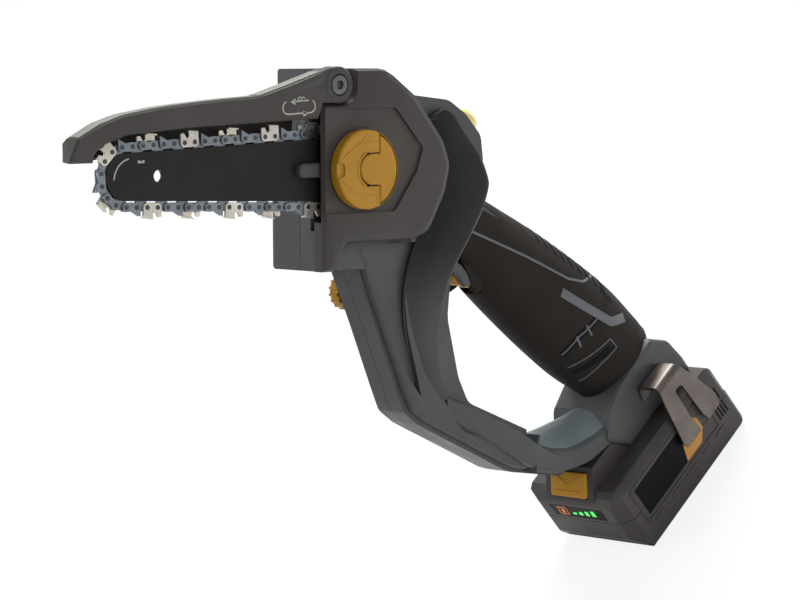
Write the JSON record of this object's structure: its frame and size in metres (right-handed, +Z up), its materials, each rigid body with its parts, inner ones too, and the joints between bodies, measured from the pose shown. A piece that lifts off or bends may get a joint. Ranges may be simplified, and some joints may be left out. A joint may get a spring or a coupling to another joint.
{
  "type": "chainsaw",
  "caption": "Cordless one-hand pruning chainsaw with guide bar and chain, swing-up guard, tension knob, looped hand guard, rubber grip and slide-on battery.",
  "frame": {"origin": "middle of the flat base of the battery that the saw stands on", "axes": "+Z up, +X along the battery towards its rear, the guide bar leans up towards -X, +Y to the oil cap side"},
  "size_m": [0.2328, 0.0755, 0.4234],
  "materials": {
    "charcoal_plastic": "fine moulded texture",
    "slate_plastic": "fine moulded texture",
    "gold_plastic": "satin",
    "blackened_steel": "satin black coating",
    "bright_steel": "ground",
    "gear_brass": "machined",
    "grip_rubber": "matt",
    "dark_plastic": "matt",
    "circuit_board": "satin",
    "cell_wrap": "shrink film over a steel can",
    "gauge_window": "gloss"
  },
  "bodies": {
    "tool": {"housing_far": "slate_plastic", "housing_near": "slate_plastic", "sprocket_cover": "charcoal_plastic", "guide_bar": "blackened_steel", "saw_chain": "bright_steel", "bar_stud": "bright_steel", "tension_slider": "slate_plastic", "guard_pivot_screw": "bright_steel", "guard_spring": "bright_steel", "front_bearing": "bright_steel", "rear_bearing": "bright_steel", "motor_can": "bright_steel", "switch_body": "dark_plastic", "control_board": "circuit_board", "trigger_spring": "bright_steel", "grip_sleeve": "grip_rubber", "belt_hook": "bright_steel", "hook_screw": "bright_steel", "housing_screw_1": "bright_steel", "housing_screw_2": "bright_steel", "housing_screw_3": "bright_steel", "housing_screw_4": "bright_steel", "housing_screw_5": "bright_steel", "housing_screw_6": "bright_steel"},
    "guard": {"chain_guard": "charcoal_plastic"},
    "knob": {"tension_knob": "gold_plastic", "flap_pin": "bright_steel"},
    "flap": {"knob_flap": "gold_plastic"},
    "drive": {"drive_sprocket": "bright_steel", "output_shaft": "bright_steel", "drive_gear": "gear_brass"},
    "motor": {"motor_pinion": "bright_steel"},
    "trigger": {"trigger": "gold_plastic"},
    "lock_button": {"lock_off_button": "gold_plastic"},
    "cap": {"oil_cap": "gold_plastic"},
    "battery": {"battery_tub": "charcoal_plastic", "battery_lid": "charcoal_plastic", "gauge_window": "gauge_window", "cell_board": "circuit_board", "cell_1": "cell_wrap", "cell_2": "cell_wrap", "cell_3": "cell_wrap", "cell_4": "cell_wrap", "cell_5": "cell_wrap", "cell_6": "cell_wrap", "cell_7": "cell_wrap", "cell_8": "cell_wrap", "cell_9": "cell_wrap", "cell_10": "cell_wrap"},
    "release": {"release_button": "gold_plastic"}
  },
  "joints": [
    {"name": "guard_swing", "type": "hinge", "parent": "tool", "child": "guard", "pos_m": [-0.03823, -0.0188, 0.33255], "axis": [0, 1, 0], "range_deg": [0, 50], "stiffness_Nm_per_rad": 0.06, "springref_deg": -45.84},
    {"name": "knob_turn", "type": "hinge", "parent": "tool", "child": "knob", "pos_m": [-0.05585, -0.022, 0.29056], "axis": [0, 1, 0], "range_deg": [0, 720]},
    {"name": "flap_fold", "type": "hinge", "parent": "knob", "child": "flap", "pos_m": [-0.05363, -0.0263, 0.28855], "axis": [-0.6691, 0, -0.7431], "range_deg": [0, 90]},
    {"name": "sprocket_spin", "type": "hinge", "parent": "tool", "child": "drive", "pos_m": [-0.03693, -0.004, 0.27351], "axis": [0, 1, 0], "continuous": true},
    {"name": "motor_spin", "type": "hinge", "parent": "tool", "child": "motor", "pos_m": [-0.00558, 0.005, 0.24216], "axis": [0, 1, 0], "continuous": true},
    {"name": "trigger_pull", "type": "slide", "parent": "tool", "child": "trigger", "axis": [0.9703, 0, 0.2418], "range_m": [0, 0.004], "stiffness_N_per_m": 600, "springref_m": -0.004, "deforming": ["trigger_spring"]},
    {"name": "lock_press", "type": "slide", "parent": "tool", "child": "lock_button", "axis": [-0.9962, 0, -0.0872], "range_m": [0, 0.003], "stiffness_N_per_m": 500, "springref_m": -0.003},
    {"name": "oil_cap_turn", "type": "hinge", "parent": "tool", "child": "cap", "pos_m": [-0.08114, 0.0145, 0.22586], "axis": [0, 1, 0], "range_deg": [0, 360]},
    {"name": "battery_slide", "type": "slide", "parent": "tool", "child": "battery", "axis": [-1, 0, 0], "range_m": [0, 0.1]},
    {"name": "release_press", "type": "slide", "parent": "battery", "child": "release", "axis": [0.7809, 0, -0.6247], "range_m": [0, 0.002], "stiffness_N_per_m": 800, "springref_m": -0.002}
  ],
  "couplings": [
    {"joint": "motor_spin", "follows": "sprocket_spin", "ratio": -5.3333}
  ]
}
